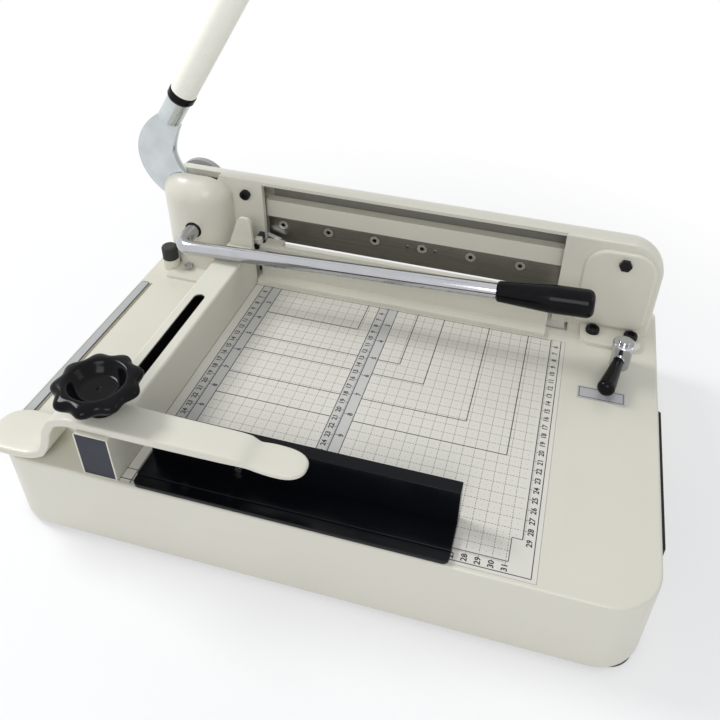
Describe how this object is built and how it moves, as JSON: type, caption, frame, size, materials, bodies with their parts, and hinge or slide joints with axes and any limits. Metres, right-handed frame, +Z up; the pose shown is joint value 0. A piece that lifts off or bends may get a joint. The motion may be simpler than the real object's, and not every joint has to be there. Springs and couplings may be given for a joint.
{
  "type": "stack paper cutter",
  "caption": "Table-top stack paper cutter: cream cast base and bridge, long lever that drives a knife, bent clamp lever, side gauge with star knob",
  "frame": {"origin": "on the table that the cutter stands on, under the middle of the whole object's outline with the lever as stored", "axes": "+Z up; the user stands on the -Y side, in front of the table; +X runs along the knife to the user's right"},
  "size_m": [0.5648, 0.3688, 0.6482],
  "materials": {
    "cream_paint": "warm off-white enamel on castings and pressed steel, satin gloss",
    "grey_paint": "mid grey enamel, satin",
    "printed_plate": "pale grey plate with a printed grid, rulers and format lines",
    "strip_aluminium": "satin sheet",
    "stick_plastic": "off-white strip that the knife lands on",
    "black_paint": "glossy black enamel",
    "black_gloss_plastic": "glossy black moulding",
    "black_matt_plastic": "matt black moulding",
    "black_rubber": "matt",
    "chrome": "bright plating",
    "blade_steel": "ground blade, dull",
    "machine_steel": "machined and lightly oiled",
    "bush_bronze": "plain turned bush"
  },
  "bodies": {
    "base": {"base_casting": "cream_paint", "rubber_feet": "black_rubber", "table_plate": "printed_plate", "cutting_stick": "stick_plastic", "margin_strip": "strip_aluminium", "side_guide_rail": "cream_paint", "rail_end_plug": "black_matt_plastic", "left_side_frame": "cream_paint", "right_side_frame": "cream_paint", "top_beam": "cream_paint", "right_foot_bolts": "black_paint", "left_foot_bolt": "chrome", "left_panel_bolt": "black_paint", "right_panel_bolt": "black_paint", "cap_seat": "cream_paint", "stop_cap": "black_rubber", "carriage_guide_pins": "machine_steel", "pivot_shaft": "machine_steel", "pivot_disc": "grey_paint", "pivot_nut": "machine_steel", "clamp_shaft_bush": "black_paint", "post_bushes": "bush_bronze", "lock_screw": "chrome", "label_plate": "strip_aluminium", "side_handle_left": "black_matt_plastic", "side_handle_right": "black_matt_plastic"},
    "main_lever": {"lever_forging": "chrome", "lever_crank": "machine_steel", "crank_pin": "machine_steel", "lever_ring": "black_matt_plastic", "lever_tube": "cream_paint", "lever_grip": "black_matt_plastic"},
    "knife_slide": {"knife_carriage": "cream_paint", "knife": "blade_steel", "knife_screws": "blade_steel"},
    "clamp_lever": {"clamp_rod": "chrome", "clamp_grip": "black_gloss_plastic", "clamp_crank": "machine_steel", "clamp_crank_pin": "machine_steel"},
    "clamp": {"clamp_plate": "cream_paint", "clamp_guide_shoe": "black_matt_plastic", "shoe_screw": "chrome", "clamp_posts": "machine_steel"},
    "back_gauge": {"gauge_arm": "cream_paint", "fence_bar": "black_paint", "fence_screws": "machine_steel", "fence_face_screw": "chrome", "knob_stud": "chrome", "slide_nut": "machine_steel"},
    "gauge_knob": {"star_knob": "black_gloss_plastic"},
    "lock_lever": {"lock_lever_hub": "chrome", "lock_lever_handle": "black_gloss_plastic"}
  },
  "joints": [
    {"name": "main_lever_swing", "type": "hinge", "parent": "base", "child": "main_lever", "pos_m": [-0.23505, 0.15044, 0.159], "axis": [0, 1, 0], "range_deg": [-26.7, 57.1]},
    {"name": "knife_travel", "type": "slide", "parent": "base", "child": "knife_slide", "axis": [0.1483, 0, -0.9889], "range_m": [-0.0125, 0.0261]},
    {"name": "clamp_lever_swing", "type": "hinge", "parent": "base", "child": "clamp_lever", "pos_m": [-0.21655, 0.10544, 0.1382], "axis": [0, 1, 0], "range_deg": [-26.6, 0]},
    {"name": "clamp_travel", "type": "slide", "parent": "base", "child": "clamp", "axis": [0, 0, 1], "range_m": [0, 0.0381]},
    {"name": "gauge_travel", "type": "slide", "parent": "base", "child": "back_gauge", "axis": [0, 1, 0], "range_m": [0, 0.155]},
    {"name": "star_knob_turn", "type": "hinge", "parent": "back_gauge", "child": "gauge_knob", "pos_m": [-0.16155, -0.14956, 0.155], "axis": [0, 0, 1], "range_deg": [0, 360]},
    {"name": "lock_lever_turn", "type": "hinge", "parent": "base", "child": "lock_lever", "pos_m": [0.24065, 0.08244, 0.1], "axis": [0, 0, 1], "range_deg": [-75, 45]}
  ],
  "couplings": [
    {"joint": "knife_travel", "follows": "main_lever_swing", "m_per_rad": 0.02607},
    {"joint": "clamp_travel", "follows": "clamp_lever_swing", "m_per_rad": -0.0818}
  ]
}
